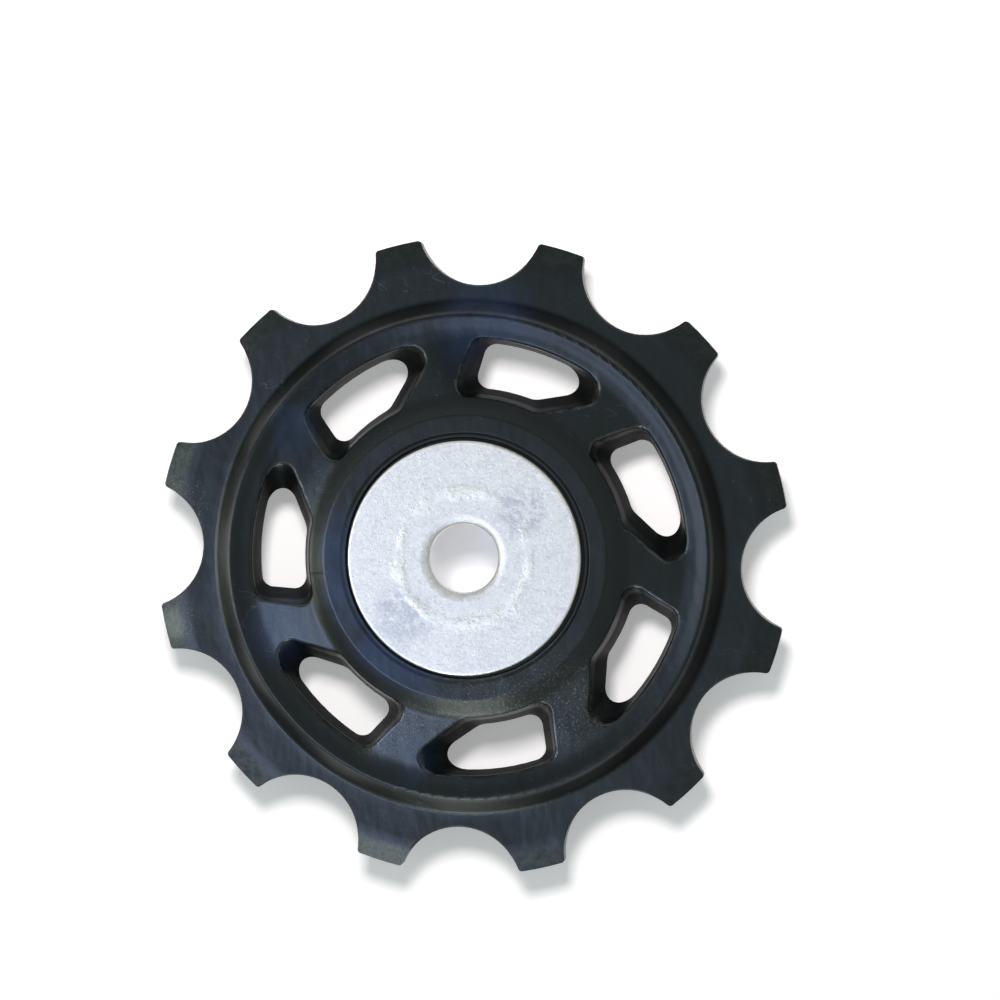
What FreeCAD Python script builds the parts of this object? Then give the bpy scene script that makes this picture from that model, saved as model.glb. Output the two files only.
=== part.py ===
# Derailleur jockey wheel: a moulded toothed wheel that turns on a cartridge ball bearing, between
# two dust caps whose spigots meet in the middle of the bearing's bore. It lies flat. +Z is the
# axis, the origin is the middle of the axle hole, and a tooth points along +X. Millimetres.
import FreeCAD, Part

import math
import os

Vector = FreeCAD.Vector
centre = Vector(0, 0, 0)
axis = Vector(0, 0, 1)

# Teeth
tooth_count = 12
roller_pitch = 12.7
roller_radius = 3.825
root_room = 0.31        # between a seated roller and the root of its gap
gap_spread = 0.92       # a gap's arc is this much wider than the roller's
tip_drop = 0.48         # from the pitch circle down to the tooth tips
tip_round = 0.3
tooth_thickness = 1.9
tip_thickness = 1.0
tip_bevel_length = 1.7  # along a tooth's face, up to its tip
tip_shoulder_round = 5.0
gap_edge_bevel = 0.12

# Dust caps
axle_hole_radius = 2.55
axle_hole_lip = 0.4
cap_radius = 8.74
cap_thickness = 0.8
cap_edge_round = 0.18
cap_stand_off = 0.2     # between a cap and the floor of the hub's recess
cap_side_room = 0.26    # between a cap's edge and the wall of the recess
boss_radius = 4.4       # the step of a cap that bears on the inner race

# Hub, web and rim of the wheel
hub_half_width = 3.7
hub_land = 1.64         # from the recess out to the hub's edge
hub_edge_round = 0.3
hub_flank_width = 1.3
hub_foot_round = 1.5
recess_depth = 0.7
ledge_width = 0.2
ledge_drop = 0.2
web_half_at_hub = 2.5
web_half_at_rim = 1.95
rim_slope_width = 1.25
rim_half_width = 2.45
rim_flank_width = 1.25
rim_inset = 1.05        # from the root of the tooth gaps in to the rim's foot
rim_edge_round = 0.3
rim_foot_round = 0.4
rim_dish_round = 3.3    # where the web curves up to the rim

# Windows: a square end, and a slanted edge that tapers the other end to a nose
window_count = 7
window_phase = 38.1
window_rim_wall = 1.98  # from a window out to the rim's edge, at the parting plane
window_hub_wall = 2.06
window_square_end = 3.54
window_slant_start = 1.22
window_slant = 26.0
window_end_round = 1.0
window_nose_round = 1.25
window_elbow_round = 1.8
window_edge_round = 0.3
outer_draft = 10.0
inner_draft = 16.0
end_draft = 25.0

# Cartridge bearing
bearing_bore_radius = 3.5
bearing_radius = 7.0
bearing_width = 5.0
bearing_stop = 0.6      # lip of the wheel that the outer race stands against
seat_lead = 0.2
race_edge_round = 0.15
ball_count = 9
ball_radius = 1.0
ball_room = 0.03
shoulder_height = 0.35  # of the raceways, measured from the middle of the balls
cage_half_width = 0.3
cage_thickness = 0.2
pocket_room = 0.05
shield_thickness = 0.2
shield_inset = 0.3      # from a shield out to the bearing's face
shield_step = 0.4       # by which the outer race is wider at its shields
shield_room = 0.04
shield_gap = 0.15       # from a shield's inner edge to the inner race
snap_ring_height = 0.16
snap_ring_width = 0.3
snap_ring_bite = 0.12   # how deep a snap ring stands in its groove
snap_ring_opening = 30.0

# Sizes that follow from those above
pitch_radius = roller_pitch / (2 * math.sin(math.pi / tooth_count))
root_radius = pitch_radius - roller_radius - root_room
tip_radius = pitch_radius - tip_drop
gap_radius = roller_radius + gap_spread
gap_centre = root_radius + gap_radius
tooth_step = 360 / tooth_count
tooth_half = tooth_thickness / 2
tip_half = tip_thickness / 2
rim_foot_radius = root_radius - rim_inset
rim_top_radius = rim_foot_radius - rim_flank_width
rim_inner_radius = rim_top_radius - rim_slope_width
recess_radius = cap_radius + cap_side_room
recess_floor = hub_half_width - recess_depth
hub_radius = recess_radius + hub_land
hub_foot_radius = hub_radius + hub_flank_width
window_outer_radius = rim_top_radius - window_rim_wall
window_inner_radius = hub_radius + window_hub_wall
cap_inner_face = recess_floor + cap_stand_off
cap_face = cap_inner_face + cap_thickness
bearing_half = bearing_width / 2
ball_pitch_radius = (bearing_bore_radius + bearing_radius) / 2
inner_shoulder_radius = ball_pitch_radius - ball_radius + shoulder_height
outer_shoulder_radius = ball_pitch_radius + ball_radius - shoulder_height
shield_seat = bearing_half - shield_inset - shield_thickness
shield_seat_radius = outer_shoulder_radius + shield_step
shield_radius = shield_seat_radius - shield_room


def at(radius, height):
    return Vector(radius, 0, height)


def on_circle(radius, degrees, height=0):
    angle = math.radians(degrees)
    return Vector(radius * math.cos(angle), radius * math.sin(angle), height)


def arc(start, middle, end):
    return Part.Arc(start, middle, end).toShape()


def rounded_wire(corners):
    """A closed outline through corners, each a point and the radius that rounds it."""
    entries, middles, exits = [], [], []
    for i, (corner, radius) in enumerate(corners):
        back = (corners[i - 1][0] - corner).normalize()
        ahead = (corners[(i + 1) % len(corners)][0] - corner).normalize()
        half_angle = back.getAngle(ahead) / 2
        inward = (back + ahead).normalize()
        reach = radius / math.tan(half_angle)
        entries.append(corner + back * reach)
        exits.append(corner + ahead * reach)
        middles.append(corner + inward * (radius / math.sin(half_angle) - radius))
    edges = []
    for i, (corner, radius) in enumerate(corners):
        if radius > 0:
            edges.append(arc(entries[i], middles[i], exits[i]))
        edges.append(Part.makeLine(exits[i], entries[(i + 1) % len(corners)]))
    return Part.Wire(edges)


def turned(corners):
    """The solid that an outline of (radius, height, rounding) sweeps about the axis."""
    wire = rounded_wire([(at(radius, height), rounding) for radius, height, rounding in corners])
    return Part.Face(wire).revolve(centre, axis, 360)


def flipped(shape):
    """The same shape on the rear side of the wheel."""
    return shape.mirror(centre, axis)


def around(shape, count, phase=0.0):
    """Copies of a shape, evenly spaced about the axis."""
    copies = []
    for i in range(count):
        copy = shape.copy()
        copy.rotate(centre, axis, phase + i * 360 / count)
        copies.append(copy)
    return copies


def wheel_blank():
    """The wheel before its gaps and windows are cut, from the bearing seat out to the tips."""
    front = [
        (recess_radius, recess_floor, 0.1),
        (recess_radius, hub_half_width - ledge_drop, 0.06),
        (recess_radius + ledge_width, hub_half_width - ledge_drop, 0),
        (recess_radius + ledge_width + ledge_drop, hub_half_width, 0.06),
        (hub_radius, hub_half_width, hub_edge_round),
        (hub_foot_radius, web_half_at_hub, hub_foot_round),
        (rim_inner_radius, web_half_at_rim, rim_dish_round),
        (rim_top_radius, rim_half_width, rim_edge_round),
        (rim_foot_radius, tooth_half, rim_foot_round),
        (tip_radius - tip_bevel_length, tooth_half, tip_shoulder_round),
        (tip_radius, tip_half, 0),
    ]
    rear = [(radius, -height, rounding) for radius, height, rounding in reversed(front)]
    seat = [
        (bearing_radius - bearing_stop, -recess_floor, 0),
        (bearing_radius - bearing_stop, -bearing_half, 0),
        (bearing_radius, -bearing_half, 0),
        (bearing_radius, recess_floor - seat_lead, 0),
        (bearing_radius + seat_lead, recess_floor, 0),
    ]
    return turned(front + rear + seat)


def gap_outline(degrees):
    """One tooth gap of the outline: the round seat, and the rounded corners of its two tips."""
    middle = on_circle(gap_centre, degrees)
    swing = math.degrees(math.acos(
        ((tip_radius - tip_round) ** 2 + gap_centre ** 2 - (gap_radius + tip_round) ** 2)
        / (2 * (tip_radius - tip_round) * gap_centre)))
    corners = []
    for side in (-1, 1):
        tip = on_circle(tip_radius, degrees + side * swing)
        pivot = on_circle(tip_radius - tip_round, degrees + side * swing)
        touch = middle + (pivot - middle).normalize() * gap_radius
        bulge = pivot + ((tip - pivot) + (touch - pivot)).normalize() * tip_round
        corners.append((tip, bulge, touch))
    first, last = corners
    edges = [
        arc(first[0], first[1], first[2]),
        arc(first[2], on_circle(root_radius, degrees), last[2]),
        arc(last[2], last[1], last[0]),
    ]
    return edges, first[0], last[0]


def tooth_prism():
    """A tall prism with the wheel's toothed outline."""
    gaps = [gap_outline((i + 0.5) * tooth_step) for i in range(tooth_count)]
    edges = []
    for i, (gap_edges, first, last) in enumerate(gaps):
        next_first = gaps[(i + 1) % tooth_count][1]
        edges += gap_edges
        edges.append(arc(last, on_circle(tip_radius, (i + 1) * tooth_step), next_first))
    prism = Part.Face(Part.Wire(edges)).extrude(axis * 2 * cap_face)
    prism.translate(axis * -cap_face)
    return prism


def gap_bevels():
    """Flared mouths that take the sharp edge off each tooth gap, on both faces."""
    rise = tooth_half
    flare = Part.makeCone(gap_radius, gap_radius + rise, rise)
    flare.translate(Vector(gap_centre, 0, tooth_half - gap_edge_bevel))
    front = around(flare, tooth_count, tooth_step / 2)
    return front + [flipped(cone) for cone in front]


def window_half():
    """The upper half of a window's cutter: a ring between two cones, between two drafted planes."""
    top = 2 * hub_half_width
    ring = turned([
        (window_inner_radius, 0, 0),
        (window_outer_radius, 0, 0),
        (window_outer_radius + top * math.tan(math.radians(outer_draft)), top, 0),
        (window_inner_radius - top * math.tan(math.radians(inner_draft)), top, 0),
    ])
    slant = math.radians(window_slant)
    far = tip_radius
    levels = []
    for height in (0, top):
        growth = height * math.tan(math.radians(end_draft))
        square_end = window_square_end + growth
        foot_x = window_inner_radius - growth / math.cos(slant)
        foot_y = -window_slant_start
        meet_x = foot_x - (square_end - foot_y) * math.tan(slant)
        far_y = foot_y - (far - foot_x) / math.tan(slant)
        levels.append(Part.makePolygon([
            Vector(meet_x, square_end, height),
            Vector(far, square_end, height),
            Vector(far, far_y, height),
            Vector(meet_x, square_end, height),
        ]))
    half = ring.common(Part.makeLoft(levels, True, True))
    radial_room = window_outer_radius - window_inner_radius
    for is_corner, rounding in (
            (lambda r, y: y > 0, window_end_round),
            (lambda r, y: y < 0 and r > window_outer_radius - radial_room / 2, window_nose_round),
            (lambda r, y: y < 0 and r < window_outer_radius - radial_room / 2, window_elbow_round)):
        half = half.makeFillet(min(rounding, 0.45 * radial_room), side_edges(half, is_corner))
    return half


def side_edges(shape, is_corner):
    """Edges that rise from the parting plane at a sharp corner."""
    found = []
    for edge in shape.Edges:
        low, high = sorted((vertex.Point for vertex in edge.Vertexes), key=lambda point: point.z)
        if high.z - low.z > hub_half_width / 2 and is_sharp(shape, edge):
            if is_corner(math.hypot(low.x, low.y), low.y):
                found.append(edge)
    return found


def is_sharp(shape, edge):
    """Whether the two faces beside an edge meet at an angle."""
    point = edge.valueAt((edge.FirstParameter + edge.LastParameter) / 2)
    normals = []
    for face in shape.ancestorsOfType(edge, Part.Face):
        u, v = face.Surface.parameter(point)
        normals.append(face.normalAt(u, v))
    return len(normals) == 2 and normals[0].getAngle(normals[1]) > math.radians(15)


def mouth_edges(wheel):
    """The edges where the windows open onto the two faces of the web."""
    found = []
    for edge in wheel.Edges:
        point = edge.valueAt((edge.FirstParameter + edge.LastParameter) / 2)
        radius = math.hypot(point.x, point.y)
        in_web = hub_radius < radius < rim_top_radius and abs(point.z) > web_half_at_rim / 2
        whole_turn = edge.Length > math.pi * hub_radius
        if in_web and not whole_turn and is_sharp(wheel, edge):
            found.append(edge)
    return found


def toothed_wheel():
    wheel = wheel_blank().common(tooth_prism()).cut(gap_bevels())
    half = window_half()
    cutter = half.fuse(flipped(half)).removeSplitter()
    wheel = wheel.cut(around(cutter, window_count, window_phase))
    return wheel.makeFillet(window_edge_round, mouth_edges(wheel))


def front_cap():
    return turned([
        (axle_hole_radius, 0, 0),
        (bearing_bore_radius, 0, race_edge_round),
        (bearing_bore_radius, bearing_half, 0),
        (boss_radius, bearing_half, 0),
        (boss_radius, cap_inner_face, 0),
        (cap_radius, cap_inner_face, 0),
        (cap_radius, cap_face, cap_edge_round),
        (axle_hole_radius, cap_face, axle_hole_lip),
    ])


def raceway():
    return Part.makeTorus(ball_pitch_radius, ball_radius + ball_room, centre, axis)


def inner_race():
    ring = turned([
        (bearing_bore_radius, -bearing_half, race_edge_round),
        (inner_shoulder_radius, -bearing_half, race_edge_round),
        (inner_shoulder_radius, bearing_half, race_edge_round),
        (bearing_bore_radius, bearing_half, race_edge_round),
    ])
    return ring.cut(raceway())


def snap_ring_middle():
    return bearing_half - shield_inset / 2


def outer_race():
    front = [
        (outer_shoulder_radius, shield_seat, 0),
        (shield_seat_radius, shield_seat, 0),
        (shield_seat_radius, bearing_half, 0),
        (bearing_radius, bearing_half, race_edge_round),
    ]
    rear = [(radius, -height, rounding) for radius, height, rounding in reversed(front)]
    groove_half = snap_ring_height / 2 + pocket_room / 2
    groove = Part.makeCylinder(shield_seat_radius + snap_ring_bite + shield_room / 2,
                               2 * groove_half, at(0, snap_ring_middle() - groove_half))
    return turned(front + rear).cut([raceway(), groove, flipped(groove)])


def shield():
    inner = inner_shoulder_radius + shield_gap
    return turned([
        (inner, shield_seat, 0),
        (shield_radius, shield_seat, 0),
        (shield_radius, shield_seat + shield_thickness, 0),
        (inner, shield_seat + shield_thickness, 0),
    ])


def snap_ring():
    outer = shield_seat_radius + snap_ring_bite
    low = snap_ring_middle() - snap_ring_height / 2
    wire = Part.makePolygon([at(outer - snap_ring_width, low), at(outer, low),
                             at(outer, low + snap_ring_height),
                             at(outer - snap_ring_width, low + snap_ring_height),
                             at(outer - snap_ring_width, low)])
    ring = Part.Face(wire).revolve(centre, axis, 360 - snap_ring_opening)
    ring.rotate(centre, axis, snap_ring_opening / 2)
    return ring


def cage_half():
    """The front half of the ribbon cage: a flat ring with a cup over each ball."""
    reach = ball_radius + pocket_room
    inner, outer = ball_pitch_radius - cage_half_width, ball_pitch_radius + cage_half_width
    band_height = reach + cage_thickness
    band = Part.makeCylinder(outer, band_height).cut(Part.makeCylinder(inner, band_height))
    ribbon = Part.makeCylinder(outer, cage_thickness)
    cups = around(Part.makeSphere(reach + cage_thickness, at(ball_pitch_radius, 0)), ball_count)
    pockets = around(Part.makeSphere(reach, at(ball_pitch_radius, 0)), ball_count)
    return ribbon.fuse(cups).common(band).cut(pockets)


def balls():
    return around(Part.makeSphere(ball_radius, at(ball_pitch_radius, 0)), ball_count)


def main():
    pieces = {
        "toothed_wheel": toothed_wheel(),
        "front_cap": front_cap(),
        "rear_cap": flipped(front_cap()),
        "inner_race": inner_race(),
        "outer_race": outer_race(),
        "front_shield": shield(),
        "rear_shield": flipped(shield()),
        "front_snap_ring": snap_ring(),
        "rear_snap_ring": flipped(snap_ring()),
        "cage_front_half": cage_half(),
        "cage_rear_half": flipped(cage_half()),
    }
    for i, ball in enumerate(balls()):
        pieces[f"ball_{i + 1}"] = ball
    os.makedirs("parts", exist_ok=True)
    for name, shape in pieces.items():
        shape.exportStep(f"parts/{name}.step")
        print(name, "solids", len(shape.Solids), "valid", shape.isValid(),
              "volume %.2f" % shape.Volume)


main()
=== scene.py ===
from math import atan2, cos, degrees, hypot, pi, radians, sin

import bmesh
import bpy
from mathutils import Matrix, Vector


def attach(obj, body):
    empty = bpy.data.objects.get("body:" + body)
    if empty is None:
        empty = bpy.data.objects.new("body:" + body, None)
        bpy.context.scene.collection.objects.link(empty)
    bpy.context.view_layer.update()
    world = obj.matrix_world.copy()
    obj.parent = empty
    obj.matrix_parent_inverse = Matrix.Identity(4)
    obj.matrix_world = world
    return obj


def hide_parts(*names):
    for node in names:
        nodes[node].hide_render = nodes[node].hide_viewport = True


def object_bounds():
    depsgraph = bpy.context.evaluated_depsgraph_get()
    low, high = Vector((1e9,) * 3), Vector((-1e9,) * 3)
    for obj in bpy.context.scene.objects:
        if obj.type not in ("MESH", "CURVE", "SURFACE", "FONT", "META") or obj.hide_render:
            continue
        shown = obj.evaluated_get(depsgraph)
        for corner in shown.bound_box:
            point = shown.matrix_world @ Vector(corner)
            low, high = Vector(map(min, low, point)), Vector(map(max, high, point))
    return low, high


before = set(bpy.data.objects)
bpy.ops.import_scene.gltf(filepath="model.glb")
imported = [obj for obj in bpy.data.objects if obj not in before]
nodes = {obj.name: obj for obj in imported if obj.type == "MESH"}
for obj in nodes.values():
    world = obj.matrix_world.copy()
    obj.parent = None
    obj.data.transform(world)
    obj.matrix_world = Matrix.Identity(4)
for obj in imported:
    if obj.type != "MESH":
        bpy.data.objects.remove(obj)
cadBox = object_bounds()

mm = 0.001

# the picture's own axes are x to the right, y up and z out of the wheel's face
view = {
    "roll": 16.905,                             # from the picture's x axis to the part's, in degrees
    "tilt": Vector((0.02653, -0.12985, 0)),     # turns the wheel away from the lens, in radians
    "middle": Vector((-2.198, -4.235, 0)) * mm, # where the axle hole lies in the picture
    "distance": 250 * mm,
    "lens": 119.33,
    "clip": (10 * mm, 20),                      # m
}
pictureAxes = Matrix.Rotation(radians(view["roll"]), 4, "Z")


def addCamera():
    data = bpy.data.cameras.new("camera")
    data.lens = view["lens"]
    data.clip_start, data.clip_end = view["clip"]
    camera = bpy.data.objects.new("camera", data)
    bpy.context.collection.objects.link(camera)
    tilt = Matrix.Rotation(view["tilt"].length, 4, view["tilt"])
    stand = Matrix.Translation(Vector((0, 0, view["distance"])) - view["middle"])
    camera.matrix_world = pictureAxes @ tilt.inverted() @ stand
    bpy.context.scene.camera = camera


addCamera()
print("camera stands")


class Signal:                                   # a node's output; sums on it add Math nodes
    def __init__(self, paint, socket):
        self.paint = paint
        self.socket = socket

    def combine(self, operation, first, second):
        return self.paint.node("ShaderNodeMath", {"operation": operation}, {0: first, 1: second})

    def __add__(self, other):
        return self.combine("ADD", self, other)

    def __radd__(self, other):
        return self.combine("ADD", other, self)

    def __sub__(self, other):
        return self.combine("SUBTRACT", self, other)

    def __rsub__(self, other):
        return self.combine("SUBTRACT", other, self)

    def __mul__(self, other):
        return self.combine("MULTIPLY", self, other)

    def __rmul__(self, other):
        return self.combine("MULTIPLY", other, self)

    def __abs__(self):
        return self.paint.node("ShaderNodeMath", {"operation": "ABSOLUTE"}, {0: self})


class Paint:                                    # one material, with its nodes
    def __init__(self, name):
        self.material = bpy.data.materials.new(name)
        self.material.use_nodes = True
        self.tree = self.material.node_tree
        self.tree.nodes.clear()
        self.output = self.tree.nodes.new("ShaderNodeOutputMaterial")

    def node(self, kind, settings, sockets, output=0):
        made = self.tree.nodes.new(kind)
        for key, value in settings.items():
            setattr(made, key, value)
        for key, value in sockets.items():
            if isinstance(value, Signal):
                self.tree.links.new(value.socket, made.inputs[key])
            else:
                made.inputs[key].default_value = value
        return Signal(self, made.outputs[output])

    def place(self, turn=0.0):
        # a point on the piece, in millimetres from the middle of the wheel
        point = self.node("ShaderNodeTexCoord", {}, {}, "Object")
        sockets = {"Vector": point, "Rotation": (0, 0, turn), "Scale": (1 / mm, 1 / mm, 1 / mm)}
        return self.node("ShaderNodeMapping", {}, sockets)

    def vector(self, operation, first, second, output=0):
        return self.node("ShaderNodeVectorMath", {"operation": operation}, {0: first, 1: second}, output)

    def split(self, point):
        outputs = self.node("ShaderNodeSeparateXYZ", {}, {0: point}).socket.node.outputs
        return [Signal(self, outputs[i]) for i in range(3)]

    def radius(self, point):
        flat = self.vector("MULTIPLY", point, (1, 1, 0))
        return self.node("ShaderNodeVectorMath", {"operation": "LENGTH"}, {0: flat}, "Value")

    def noise(self, point, scale, detail, roughness):
        sockets = {"Vector": point, "Scale": scale, "Detail": detail, "Roughness": roughness}
        return self.node("ShaderNodeTexNoise", {}, sockets)

    def fade(self, value, low, high, start=0.0, end=1.0):
        sockets = {"Value": value, "From Min": low, "From Max": high, "To Min": start, "To Max": end}
        return self.node("ShaderNodeMapRange", {"interpolation_type": "SMOOTHSTEP"}, sockets)

    def ridge(self, value, near, full, end, far):
        # one from full to end, and nothing before near and after far
        return self.fade(value, near, full) * self.fade(value, end, far, 1, 0)

    def patches(self, point, scale, detail, roughness, low, high):
        # a noise that is cut off below low, and full above high
        return self.fade(self.noise(point, scale, detail, roughness), low, high)

    def spots(self, point, places, core=0.4):
        # one near the given places, and nothing further off than each one's own reach
        total = 0.0
        for x, y, z, reach in places:
            gap = self.vector("DISTANCE", point, (x, y, z), "Value")
            total = self.fade(gap, core * reach, reach, 1, 0) + total
        return total

    def blend(self, factor, first, second):
        return self.node("ShaderNodeMix", {"data_type": "RGBA"}, {0: factor, 6: first, 7: second}, 2)

    def bump(self, height, strength, depth):
        return self.node("ShaderNodeBump", {}, {"Height": height, "Strength": strength, "Distance": depth})

    def surface(self, sockets):
        return self.finish(self.node("ShaderNodeBsdfPrincipled", {}, sockets))

    def surfaces(self, factor, first, second):
        first = self.node("ShaderNodeBsdfPrincipled", {}, first)
        second = self.node("ShaderNodeBsdfPrincipled", {}, second)
        return self.finish(self.node("ShaderNodeMixShader", {}, {0: factor, 1: first, 2: second}))

    def finish(self, shader):
        self.tree.links.new(shader.socket, self.output.inputs["Surface"])
        return self.material


def rgb(red, green, blue):
    return (red, green, blue, 1)


def shared(shares, patterns):
    # the sum of the patterns, each times its own share
    total = 0.0
    for name, share in shares.items():
        total = share * patterns[name] + total
    return total


# The moulded plastic of the wheel. Lengths are in mm. A place is x, y and z in the picture's axes,
# and its reach. A noise is its scale, detail and roughness, and a patch also where it is cut off.
plastic = {
    "black": rgb(0.0030, 0.0038, 0.0030),
    "cool": rgb(0.0036, 0.0044, 0.0056),
    "worn": rgb(0.0400, 0.0450, 0.0370),
    "dust": rgb(0.2600, 0.2700, 0.2400),
    "paintedBlueSheen": rgb(0.0080, 0.0180, 0.0480),
    "glossIndex": 1.5,
    "mattIndex": 1.15,
    "glossRoughness": 0.35,
    "mattRoughness": 0.50,
    "flank": (18.25, 18.55, 19.15, 19.45),      # radii of the rim's outer slope
    "slope": (16.4, 17.0, 17.9, 18.2),          # radii of its inner slope
    "walls": (1.4, 1.8, 16.9, 17.1),            # heights and radii that hold the walls of the windows
    "teeth": (19.4, 20.2),                      # radii from which the toothed part starts
    "tips": (22.3, 22.9),                       # radii from which the worn tips start
    "hubTop": (2.9, 3.6),                       # heights from which the top of the hub starts
    "wornAndLitSide": ((-0.83, -0.55, 0), 2, 12),   # way to the lower left, where the light falls, and from where to where it grows
    "farSideLeast": 0.15,                        # how much of it the far side keeps
    # a painted blue sheen: on the top of the hub, and less of it on the rim and spokes
    "sheenHubPlaces": ((-8.6, -5.2, 3.7, 6.0), (-9.8, 0.5, 3.7, 4.0), (-4.5, -9.0, 3.7, 4.0)),
    "sheenPlaces": ((1.5, 17.4, 2.2, 5.0), (-13.2, 9.6, 2.2, 2.6),
                   (-14.2, -5.6, 2.2, 3.4), (-4.5, -14.5, 2.2, 3.4)),
    # duller places on the upper web: a painted shade, darker towards the top
    "shadeMattPlaces": ((0.5, 15.5, 2.2, 4.6), (-8.4, 13.0, 2.2, 4.6), (-14.0, 7.6, 2.2, 4.0)),
    "scuffedPlaces": ((-6.9, -23.0, 0.9, 3.4), (-22.6, -5.2, 0.9, 1.6)),
    "dustyPlaces": ((6.8, -10.6, 2.5, 6.0), (0.0, -12.0, 2.5, 5.5), (-6.5, -12.5, 2.0, 4.0),
                    (-22.0, 4.0, 0, 3.5), (-22.5, -5.0, 0, 3.0)),
    "sheenShare": 0.62,                          # how much of the painted blue sheen the other sheen places get
    "clouds": (0.3, 3, 0.6),                    # the widest noise, which leads the colours
    "waves": (0.55, 2, 0.5),
    "wavesStretch": (1, 0.6, 1),
    "streaks": (1.0, 4, 0.65),
    "streaksStretch": (3.0, 0.4, 1),
    "tipsWander": 1.2,                          # how far the streaks shift the edge of the tips
    "sand": (5.0, 3, 0.7),
    "specks": (3.4, 3, 0.65),
    "specksCut": (0.06, 0.735, 0.775),          # what dusty places add, and where it is cut off
    "powder": (6.5, 2, 0.6),
    "powderCut": (0.10, 0.68, 0.76),
    "filmCut": (0.40, 0.62),
    "scuffCut": (0.32, 0.62, 0.55),             # where the sand is cut off, and the least that stays
    "tipPatches": (1.6, 3, 0.7, 0.34, 0.62),
    "mouthPatches": (0.5, 3, 0.6, 0.36, 0.56),
    "hairs": (0.8, 1, 0.5),
    "hairsStretch": (0.5, 1.2, 1),
    "hairWidth": (0.002, 0.005),
    "hairClouds": (0.54, 0.60),                 # how cloudy it is where there are hairs
    "coolClouds": (0.35, 0.65),                 # and where it is cool
    "sheenClouds": (0.25, 0.60),
    "flowLine": (186, 0.035, 10.4, 12.5, 0.1),  # bearing, half width, inner and outer radius, soft end
    "covers": (                                 # from the lowest up: its colour, and how much it covers
        ("film", "worn", 0.35),
        ("tips", "worn", 0.9),
        ("scuffs", "dust", 0.4),
        ("hairs", "worn", 0.5),
        # the mouths' paleness is partly wear and partly a painted highlight line
        ("mouths", "dust", 0.10),
        ("powder", "dust", 0.30),
        ("specks", "dust", 0.7),
    ),
    "matt": {                                   # how much of the matt surface each brings
        "walls": 0.85,
        "flank": 0.94,
        # on the lit lower left the flank and slope are glossier and the teeth duller: painted sheen and
        # shade
        "litSideFlank": -0.74,
        "slope": 0.46,
        "litSideSlope": -0.41,
        "litSideTeeth": 0.28,
        "places": 0.55,
    },
    "rougher": {"clouds": 0.10, "streaks": 0.10, "tips": 0.10, "specks": 0.3, "mouths": -0.15},
    "relief": {
        "sand": 0.04,
        "dustySand": 0.06,
        "streaks": 0.03,
        "waves": 0.45,
        "specks": 0.2,
        "line": -0.2,
        "hairs": -0.04,
    },
    "bump": (0.6, 0.25 * mm),
}


def drawFlowLine(paint):
    # the faint line where two streams of the melt met, beside a window
    bearing, half, inner, outer, soft = plastic["flowLine"]
    along, across = paint.split(paint.place(radians(180 - bearing - view["roll"])))[:2]
    reach = paint.ridge(along, -inner, -inner - soft, -outer, -outer - soft)
    return paint.fade(abs(across), half, 2 * half, 1, 0) * reach


def drawHairs(paint, point, clouds):
    noise = paint.noise(paint.vector("MULTIPLY", point, plastic["hairsStretch"]), *plastic["hairs"])
    lines = paint.fade(abs(noise - 0.5), *plastic["hairWidth"], 1, 0)
    return lines * paint.fade(clouds, *plastic["hairClouds"])


def drawMatt(paint, point, radius, wornAndLit, walls, mouths):
    # how much of the second, matt surface shows
    flank = paint.ridge(radius, *plastic["flank"])
    slope = paint.ridge(radius, *plastic["slope"])
    # the duller places on the upper web are a painted shade
    places = paint.spots(point, plastic["shadeMattPlaces"]) * (1 - walls) * (1 - slope) * (1 - flank)
    patterns = {
        "walls": walls,
        "flank": flank,
        "litSideFlank": flank * wornAndLit,
        "slope": slope,
        "litSideSlope": slope * wornAndLit,
        "litSideTeeth": paint.fade(radius, *plastic["teeth"]) * wornAndLit,
        "places": places,
    }
    return shared(plastic["matt"], patterns) * (1 - mouths)


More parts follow.
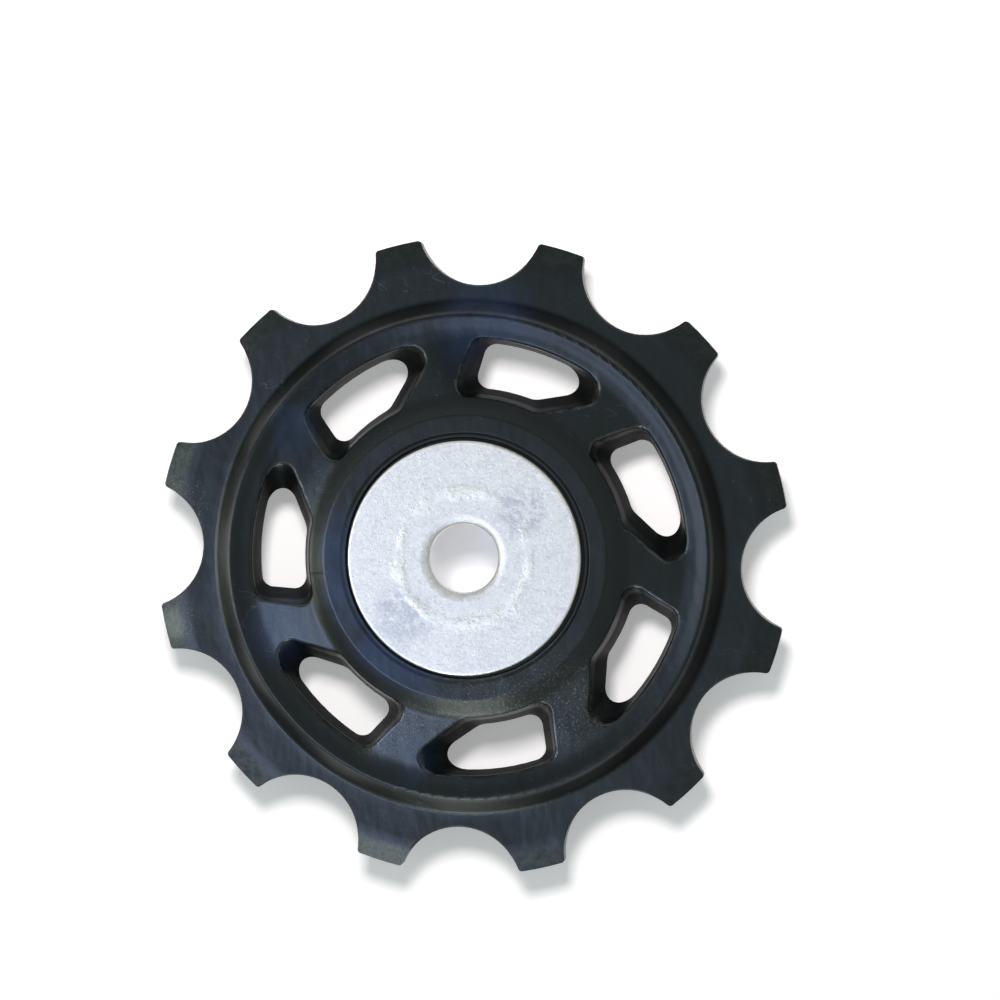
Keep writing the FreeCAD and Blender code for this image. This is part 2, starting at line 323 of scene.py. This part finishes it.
def paintPlastic():
    paint = Paint("mouldedPlastic")
    point = paint.place(radians(-view["roll"]))
    radius = paint.radius(point)
    height = paint.split(point)[2]
    low, high, near, far = plastic["walls"]
    walls = paint.fade(abs(height), low, high, 1, 0) * paint.fade(radius, near, far, 1, 0)
    # towards the lower left, where the light falls: the tips show more wear there, and the gloss a painted
    # sheen and shade
    way, start, full = plastic["wornAndLitSide"]
    along = paint.vector("DOT_PRODUCT", point, way, "Value")
    wornAndLit = paint.fade(along, start, full, plastic["farSideLeast"], 1)

    clouds = paint.noise(point, *plastic["clouds"])
    waves = paint.noise(paint.vector("MULTIPLY", point, plastic["wavesStretch"]), *plastic["waves"])
    streaks = paint.noise(paint.vector("MULTIPLY", point, plastic["streaksStretch"]), *plastic["streaks"])
    sand = paint.noise(point, *plastic["sand"])
    line = drawFlowLine(paint)
    hairs = drawHairs(paint, point, clouds)

    dusty = paint.spots(point, plastic["dustyPlaces"])
    more, low, high = plastic["specksCut"]
    specks = paint.fade(paint.noise(point, *plastic["specks"]) + more * dusty, low, high)
    more, low, high = plastic["powderCut"]
    powder = paint.fade(paint.noise(point, *plastic["powder"]) + more * dusty, low, high) * dusty
    film = dusty * paint.fade(0.5 * sand + 0.5 * clouds, *plastic["filmCut"])

    # worn tips, lighter towards the lit lower left: partly wear, partly a painted sheen
    tips = paint.fade(radius + plastic["tipsWander"] * (streaks - 0.5), *plastic["tips"]) * wornAndLit
    low, high, least = plastic["scuffCut"]
    scuffs = tips * paint.spots(point, plastic["scuffedPlaces"]) * paint.fade(sand, low, high, least, 1)
    tips = tips * paint.patches(point, *plastic["tipPatches"])
    # the windows' mouths, glossier and a little paler: partly wear, partly a painted highlight line
    mouths = paint.node("ShaderNodeAttribute", {"attribute_name": "mouth"}, {}, "Fac")
    mouths = mouths * paint.patches(point, *plastic["mouthPatches"])

    # a painted blue sheen, most on the hub's lower left
    paintedBlueSheen = paint.spots(point, plastic["sheenHubPlaces"]) * paint.fade(height, *plastic["hubTop"])
    paintedBlueSheen = paintedBlueSheen + plastic["sheenShare"] * paint.spots(point, plastic["sheenPlaces"])
    colour = paint.blend(paint.fade(clouds, *plastic["coolClouds"]), plastic["black"], plastic["cool"])
    colour = paint.blend(paintedBlueSheen * paint.fade(clouds, *plastic["sheenClouds"]), colour, plastic["paintedBlueSheen"])
    covers = {
        "film": film,
        "tips": tips,
        "scuffs": scuffs,
        "hairs": hairs,
        "mouths": mouths,
        "powder": powder * (1 - walls),
        "specks": specks * (1 - walls),
    }
    for name, tint, most in plastic["covers"]:
        colour = paint.blend(most * covers[name], colour, plastic[tint])

    rougher = shared(plastic["rougher"], {
        "clouds": clouds - 0.5,
        "streaks": streaks - 0.5,
        "tips": tips,
        "specks": specks,
        "mouths": mouths,
    })
    relief = shared(plastic["relief"], {
        "sand": sand,
        "dustySand": sand * dusty,
        "streaks": streaks,
        "waves": waves,
        "specks": specks,
        "line": line,
        "hairs": hairs,
    })
    normal = paint.bump(relief, *plastic["bump"])
    return paint.surfaces(drawMatt(paint, point, radius, wornAndLit, walls, mouths), {
        "Base Color": colour,
        "Roughness": plastic["glossRoughness"] + rougher,
        "IOR": plastic["glossIndex"],
        "Normal": normal,
    }, {
        "Base Color": colour,
        "Roughness": plastic["mattRoughness"],
        "IOR": plastic["mattIndex"],
        "Normal": normal,
    })


# the zinc plate of the dust caps, with places and noises as above
zinc = {
    "pale": rgb(0.87, 0.80, 0.755),
    "dull": rgb(0.51, 0.49, 0.52),
    "worn": rgb(0.92, 0.91, 0.90),              # of the axle hole's wall
    "metallic": 0.6,
    "roughness": 0.50,
    "bore": (2.60, 2.70),                       # the axle hole's wall is smooth up to here
    "boreSmooth": 0.8,                          # how much of the relief it loses
    "lip": (2.45, 3.30),                        # the plate's face falls towards the hole from here
    "edge": (8.50, 8.64),                       # the rounded edge is polished from here on
    "ring": 4.95,                               # radius of the mark that the bearing's race has pressed in
    "ringWidth": (0.05, 0.60),                  # half of its full and of its whole width
    "ringPatches": (0.45, 2, 0.5, 0.33, 0.58),
    "ringWander": 1.6,                          # how far the wander noise shifts it
    "wander": (0.7, 4, 0.65),
    "mottle": (1.6, 4, 0.7),
    "grain": (4.5, 4, 0.8),
    "crumbs": (2.6, 3, 0.75, 0.56, 0.66),
    "dullPlaces": ((4.3, 3.5, 4, 2.4), (-4.6, -4.3, 4, 2.8)),
    "dullPatches": (1.1, 5, 0.8, 0.40, 0.58),
    "shades": (0.28, 0.85),                     # from the dull to the pale
    "shade": {                                  # how much lighter each makes the plate
        "mottle": 0.5,
        "grain": 0.8,
        "dull": -0.26,
        "crumbs": 0.10,
        "ringCrumbs": 0.35,
        "ring": 0.16,
        "edge": 0.4,
    },
    "rougher": {"mottle": 0.15, "bore": -0.38, "edge": -0.15},
    "relief": {"mottle": 0.4, "grain": 0.5, "crumbs": 0.35, "ringCrumbs": 0.75, "ring": 1.1, "lip": 4.0},
    "bump": (0.6, 0.06 * mm),
}


def paintZinc():
    paint = Paint("zincPlate")
    point = paint.place(radians(-view["roll"]))
    radius = paint.radius(point)
    mottle = paint.noise(point, *zinc["mottle"])
    crumbs = paint.patches(point, *zinc["crumbs"])
    wander = zinc["ringWander"] * (paint.noise(point, *zinc["wander"]) - 0.5)
    ring = paint.fade(abs(radius + wander - zinc["ring"]), *zinc["ringWidth"], 1, 0)
    ring = ring * paint.patches(point, *zinc["ringPatches"])
    dull = paint.spots(point, zinc["dullPlaces"]) * paint.patches(point, *zinc["dullPatches"])
    bore = paint.fade(radius, *zinc["bore"], 1, 0)
    patterns = {
        "mottle": mottle,
        "grain": paint.noise(point, *zinc["grain"]),
        "dull": dull,
        "crumbs": crumbs,
        "ringCrumbs": ring * crumbs,
        "ring": ring,
        "edge": paint.fade(radius, *zinc["edge"]),
        "lip": paint.fade(radius, *zinc["lip"]),
    }
    shade = paint.fade(shared(zinc["shade"], patterns), *zinc["shades"])
    relief = shared(zinc["relief"], patterns) * (1 - zinc["boreSmooth"] * bore)
    rougher = {"mottle": mottle - 0.5, "bore": bore, "edge": patterns["edge"]}
    return paint.surface({
        "Base Color": paint.blend(bore, paint.blend(shade, zinc["dull"], zinc["pale"]), zinc["worn"]),
        "Metallic": zinc["metallic"] + (1 - zinc["metallic"]) * bore,
        "Roughness": zinc["roughness"] + shared(zinc["rougher"], rougher),
        "Normal": paint.bump(relief, *zinc["bump"]),
    })


# turned or drawn steel: fine lines round the axis, and a little uneven stain
steel = {
    "stain": (0.8, 3, 0.6),
    "stained": (0.3, 0.7),
    "tarnish": 0.86,            # how light the stained steel is beside the clean
    "grooves": (3, 0.7),        # detail and roughness of the lines
    "stainRoughness": 0.10,
    "grooveRoughness": 0.06,
    "bump": (0.2, 0.01 * mm),
}


def paintSteel(name, colour, roughness, lines):
    paint = Paint(name)
    point = paint.place()
    stain = paint.noise(point, *steel["stain"])
    outwards = paint.node("ShaderNodeCombineXYZ", {}, {0: paint.radius(point)})
    groove = paint.noise(outwards, lines, *steel["grooves"])
    tarnished = rgb(*[steel["tarnish"] * part for part in colour])
    uneven = steel["stainRoughness"] * (stain - 0.5) + steel["grooveRoughness"] * (groove - 0.5)
    return paint.surface({
        "Base Color": paint.blend(paint.fade(stain, *steel["stained"]), rgb(*colour), tarnished),
        "Metallic": 1.0,
        "Roughness": roughness + uneven,
        "Normal": paint.bump(groove, *steel["bump"]),
    })


def dress(piece, material):
    piece.data.materials.clear()
    piece.data.materials.append(material)


# the wheel's skin; a turned face is one that the outline swept round the axis
skin = {
    "weldWithin": 0.0001 * mm,
    "sharpFrom": 32,                            # degrees between two faces
    "ringStep": 0.01 * mm,                      # points this near in radius and height are on one ring
    "turned": 0.12,                             # how far a turned face's normal may point along the ring
    "joinWithin": 12,                           # degrees between two turned faces that shade as one
    "web": ((11.8, 2.5), (17.0, 1.95)),         # radius and half thickness by the hub and the rim, in mm
    "mouthDepths": (0.01, 0.28),                # of the windows' rounded mouths below the web, in mm
    "mouthTilts": (0.60, 0.97),                 # the upright part of a mouth's normal
}


def ringOf(place, known):
    # the ring that a point is on: its radius and height, in steps
    radius = hypot(place.x, place.y) / skin["ringStep"]
    height = place.z / skin["ringStep"]
    column, row = round(radius), round(height)
    for i in (-1, 0, 1):
        for j in (-1, 0, 1):
            other = known.get((column + i, row + j))
            if other and hypot(other[0] - radius, other[1] - height) < 0.5:
                return (column + i, row + j)
    known[(column, row)] = (radius, height)
    return (column, row)


def outward(place):
    return Vector((place.x, place.y, 0)).normalized()


def shareSlopes(areas):
    # one ring's slopes, each with the mean of the slopes that it shades with
    groups = []
    for slope in sorted(areas):
        if not groups or slope - groups[-1][-1] > skin["joinWithin"]:
            groups.append([])
        groups[-1].append(slope)
    means = {}
    for group in groups:
        total = Vector((0.0, 0.0))
        for slope in group:
            total += areas[slope] * Vector((cos(radians(slope)), sin(radians(slope))))
        for slope in group:
            means[slope] = total.normalized()
    return means


def evenNormals(mesh):
    # large faces lead the shading, and turned faces have one normal all round each ring
    limit = cos(radians(skin["sharpFrom"]))
    places = {}
    ring = [ringOf(vertex.co, places) for vertex in mesh.vertices]
    around = [[] for vertex in mesh.vertices]
    slopes = {}
    rings = {}
    for face in mesh.polygons:
        way = outward(face.center)
        turned = abs(face.normal.cross(way).z) < skin["turned"]
        if turned:
            slopes[face.index] = round(degrees(atan2(face.normal.z, face.normal.dot(way))))
        for index in face.vertices:
            around[index].append(face)
            if turned:
                areas = rings.setdefault(ring[index], {})
                slope = slopes[face.index]
                areas[slope] = areas.get(slope, 0.0) + face.area
    means = {key: shareSlopes(areas) for key, areas in rings.items()}
    normals = [None] * len(mesh.loops)
    for face in mesh.polygons:
        for corner in face.loop_indices:
            index = mesh.loops[corner].vertex_index
            if face.index in slopes:
                even = means[ring[index]][slopes[face.index]]
                normal = even.x * outward(mesh.vertices[index].co) + Vector((0, 0, even.y))
            else:
                normal = Vector((0.0, 0.0, 0.0))
                for other in around[index]:
                    if other.normal.dot(face.normal) > limit:
                        normal += other.area * other.normal
            normals[corner] = normal.normalized()
    mesh.normals_split_custom_set(normals)


def markMouths(mesh):
    # one on the rounded mouths of the windows, which wear first; the slight paleness that it gives them is
    # partly a painted highlight line
    mark = mesh.attributes.new("mouth", "FLOAT", "CORNER")
    (near, atHub), (far, atRim) = skin["web"]
    top, foot = skin["mouthDepths"]
    low, high = skin["mouthTilts"]
    for face in mesh.polygons:
        radius = hypot(face.center.x, face.center.y) / mm
        webHalf = atHub + (atRim - atHub) * (radius - near) / (far - near)
        depth = webHalf - abs(face.center.z) / mm
        rounded = top < depth < foot and low < abs(face.normal.z) < high
        if near < radius < far and rounded:
            for corner in face.loop_indices:
                mark.data[corner].value = 1.0


def weldWheel():
    # the CAD wheel as one closed skin
    form = bmesh.new()
    form.from_mesh(nodes["toothed_wheel"].data)
    bmesh.ops.remove_doubles(form, verts=form.verts, dist=skin["weldWithin"])
    mesh = bpy.data.meshes.new("wheelSkin")
    form.to_mesh(mesh)
    form.free()
    if mesh.has_custom_normals:
        mesh.attributes.remove(mesh.attributes["custom_normal"])
    mesh.shade_smooth()
    evenNormals(mesh)
    markMouths(mesh)
    wheel = bpy.data.objects.new("wheelSkin", mesh)
    bpy.context.collection.objects.link(wheel)
    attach(wheel, "wheel")
    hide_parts("toothed_wheel")
    return wheel


dress(weldWheel(), paintPlastic())
zincPlate = paintZinc()
for name in ("front_cap", "rear_cap"):
    dress(nodes[name], zincPlate)
balls = [name for name in nodes if name.startswith("ball_")]
steels = {                      # pieces, colour, roughness, and how fine the lines are
    "race_steel": (("inner_race", "outer_race"), (0.62, 0.63, 0.65), 0.25, 12),
    "shield_steel": (("front_shield", "rear_shield"), (0.55, 0.56, 0.58), 0.38, 5),
    "spring_steel": (("front_snap_ring", "rear_snap_ring"), (0.40, 0.40, 0.41), 0.40, 8),
    "cage_steel": (("cage_front_half", "cage_rear_half"), (0.58, 0.58, 0.57), 0.35, 4),
    "ball_steel": (balls, (0.75, 0.76, 0.78), 0.08, 2),
}
for slotName, (names, colour, roughness, lines) in steels.items():
    material = paintSteel(slotName, colour, roughness, lines)
    for name in names:
        dress(nodes[name], material)
print("materials done")


# studio: a pale floor, a dim room, strips of light that the gloss shows, and a small lamp close above
studio = {
    "floorHalf": 3.0,           # m
    "floorGap": 0.02 * mm,      # keeps the cap's face and the floor apart
    "floorGlow": rgb(0.280, 0.275, 0.275),
    "floorColour": rgb(0.97, 0.92, 0.915),
    "roomColour": rgb(0.83, 0.99, 1.0),
    "roomStrength": 0.38,
}
strips = {                      # bearing in the picture, slant from straight above, width, length, light
    "sideStrip": (183, 65, 78 * mm, 230 * mm, (3.6, 4.1, 3.5)),
    "lowStrip": (263, 75, 88 * mm, 133 * mm, (4.9, 5.5, 5.05)),
    "skyStrip": (219, 31, 254 * mm, 64 * mm, (4.3, 5.5, 8.2)),
}
lamp = {
    "place": Vector((4, 71, 170)) * mm,         # in the picture's axes
    "size": 40 * mm,
    "level": 0.92,                              # of plain light, under the lamp
}


def paintFloor():
    # matt and lit, with a glow that only the lens and the gloss see
    paint = Paint("paleFloor")
    matt = paint.node("ShaderNodeBsdfDiffuse", {}, {"Color": studio["floorColour"]})
    path = paint.node("ShaderNodeLightPath", {}, {}).socket.node.outputs
    rays = ("Is Camera Ray", "Is Glossy Ray", "Is Transmission Ray")
    seen = [Signal(paint, path[name]) for name in rays]
    sockets = {"Color": studio["floorGlow"], "Strength": seen[0] + seen[1] + seen[2]}
    glow = paint.node("ShaderNodeEmission", {}, sockets)
    return paint.finish(paint.node("ShaderNodeAddShader", {}, {0: matt, 1: glow}))


def addFloor():
    sheet = bmesh.new()
    bmesh.ops.create_grid(sheet, x_segments=1, y_segments=1, size=studio["floorHalf"])
    bmesh.ops.translate(sheet, verts=sheet.verts, vec=(0, 0, cadBox[0].z - studio["floorGap"]))
    mesh = bpy.data.meshes.new("floor")
    sheet.to_mesh(mesh)
    sheet.free()
    mesh.materials.append(paintFloor())
    floor = bpy.data.objects.new("floor", mesh)
    bpy.context.collection.objects.link(floor)


def addAreaLight(name, size, radiance, place):
    data = bpy.data.lights.new(name, "AREA")
    data.shape = "RECTANGLE"
    data.size, data.size_y = size
    level = max(radiance)
    data.energy = level * pi * size[0] * size[1]
    data.color = [part / level for part in radiance]
    light = bpy.data.objects.new(name, data)
    bpy.context.collection.objects.link(light)
    light.matrix_world = pictureAxes @ place
    light.visible_camera = False
    return light


def addStrips():
    away = Matrix.Translation((0, 0, view["distance"]))
    for name, (bearing, slant, width, length, radiance) in strips.items():
        turn = Matrix.Rotation(radians(bearing), 4, "Z") @ Matrix.Rotation(radians(slant), 4, "Y")
        strip = addAreaLight(name, (length, width), radiance, turn @ away)
        strip.visible_diffuse = False           # seen in the gloss only


def addLamp():
    radiance = lamp["level"] * pi * (lamp["place"].z / lamp["size"]) ** 2
    size = (lamp["size"], lamp["size"])
    light = addAreaLight("closeLamp", size, [radiance] * 3, Matrix.Translation(lamp["place"]))
    light.visible_glossy = False                # gives the light and the shadow, and no highlight


def addRoom():
    world = bpy.data.worlds.new("room")
    bpy.context.scene.world = world
    world.use_nodes = True
    background = world.node_tree.nodes["Background"]
    background.inputs["Color"].default_value = studio["roomColour"]
    background.inputs["Strength"].default_value = studio["roomStrength"]


addFloor()
addRoom()
addStrips()
addLamp()
bpy.context.scene.view_settings.view_transform = "Standard"
print("studio lit")
